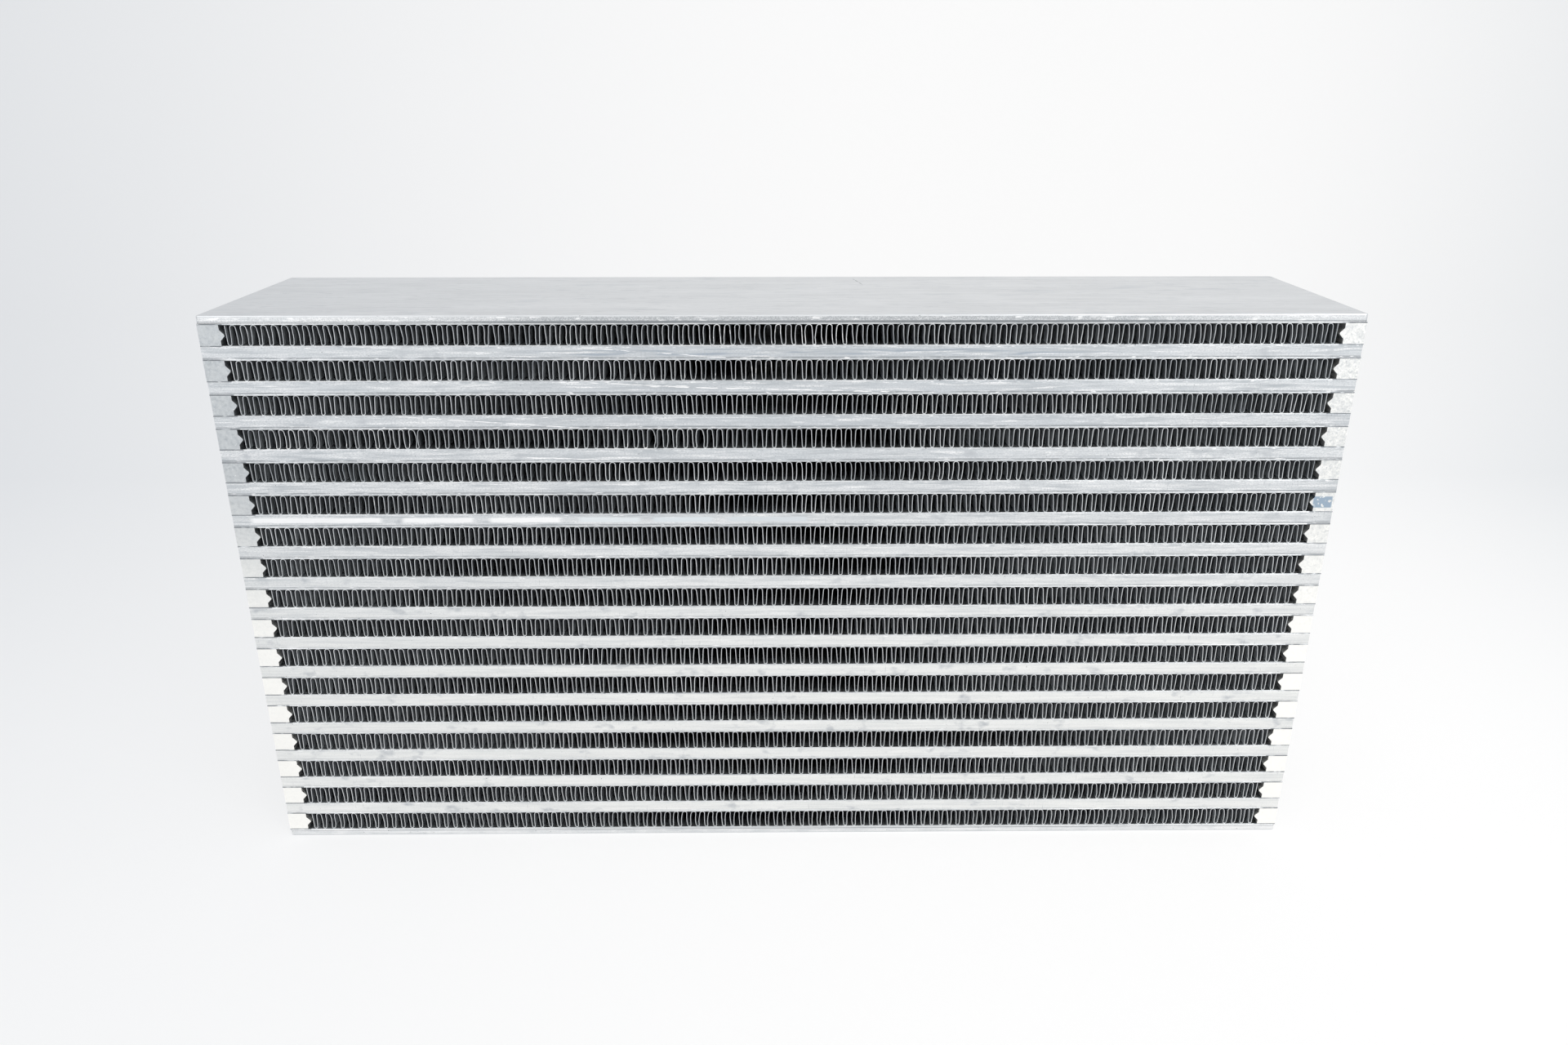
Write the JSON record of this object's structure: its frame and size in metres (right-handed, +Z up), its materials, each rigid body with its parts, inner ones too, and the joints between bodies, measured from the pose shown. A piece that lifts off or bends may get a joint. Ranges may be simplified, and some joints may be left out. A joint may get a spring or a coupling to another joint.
{
  "type": "intercooler core",
  "caption": "Bar-and-plate charge-air cooler core: stacked air fins and charge passages between parting sheets, closed by bars and side plates, open left to right for the tanks.",
  "frame": {"origin": "middle of the underside of the bottom side plate", "axes": "+X to the right along the length, the way the charge air goes; +Y from the front face to the rear face, the way the cooling air goes; +Z up the stack"},
  "size_m": [0.58, 0.12, 0.306],
  "materials": {
    "side_plate": "satin, rolled mill finish with light handling marks",
    "parting_sheet": "bright sheared edge, braze-clad",
    "end_bar": "dull, mottled by brazing",
    "long_bar": "satin, extruded, with drawing lines along it",
    "air_fin": "bare foil, grey after brazing",
    "charge_fin": "bare foil, grey after brazing"
  },
  "bodies": {
    "root": {"bottom_plate": "side_plate", "top_plate": "side_plate", "parting_sheets": "parting_sheet", "air_fin_01": "air_fin", "air_fin_02": "air_fin", "air_fin_03": "air_fin", "air_fin_04": "air_fin", "air_fin_05": "air_fin", "air_fin_06": "air_fin", "air_fin_07": "air_fin", "air_fin_08": "air_fin", "air_fin_09": "air_fin", "air_fin_10": "air_fin", "air_fin_11": "air_fin", "air_fin_12": "air_fin", "air_fin_13": "air_fin", "air_fin_14": "air_fin", "air_fin_15": "air_fin", "air_fin_16": "air_fin", "air_fin_17": "air_fin", "charge_fins": "charge_fin", "end_bars_01": "end_bar", "end_bars_02": "end_bar", "end_bars_03": "end_bar", "end_bars_04": "end_bar", "end_bars_05": "end_bar", "end_bars_06": "end_bar", "end_bars_07": "end_bar", "end_bars_08": "end_bar", "end_bars_09": "end_bar", "end_bars_10": "end_bar", "end_bars_11": "end_bar", "end_bars_12": "end_bar", "end_bars_13": "end_bar", "end_bars_14": "end_bar", "end_bars_15": "end_bar", "end_bars_16": "end_bar", "end_bars_17": "end_bar", "long_bars_01": "long_bar", "long_bars_02": "long_bar", "long_bars_03": "long_bar", "long_bars_04": "long_bar", "long_bars_05": "long_bar", "long_bars_06": "long_bar", "long_bars_07": "long_bar", "long_bars_08": "long_bar", "long_bars_09": "long_bar", "long_bars_10": "long_bar", "long_bars_11": "long_bar", "long_bars_12": "long_bar", "long_bars_13": "long_bar", "long_bars_14": "long_bar", "long_bars_15": "long_bar", "long_bars_16": "long_bar"}
  },
  "joints": []
}
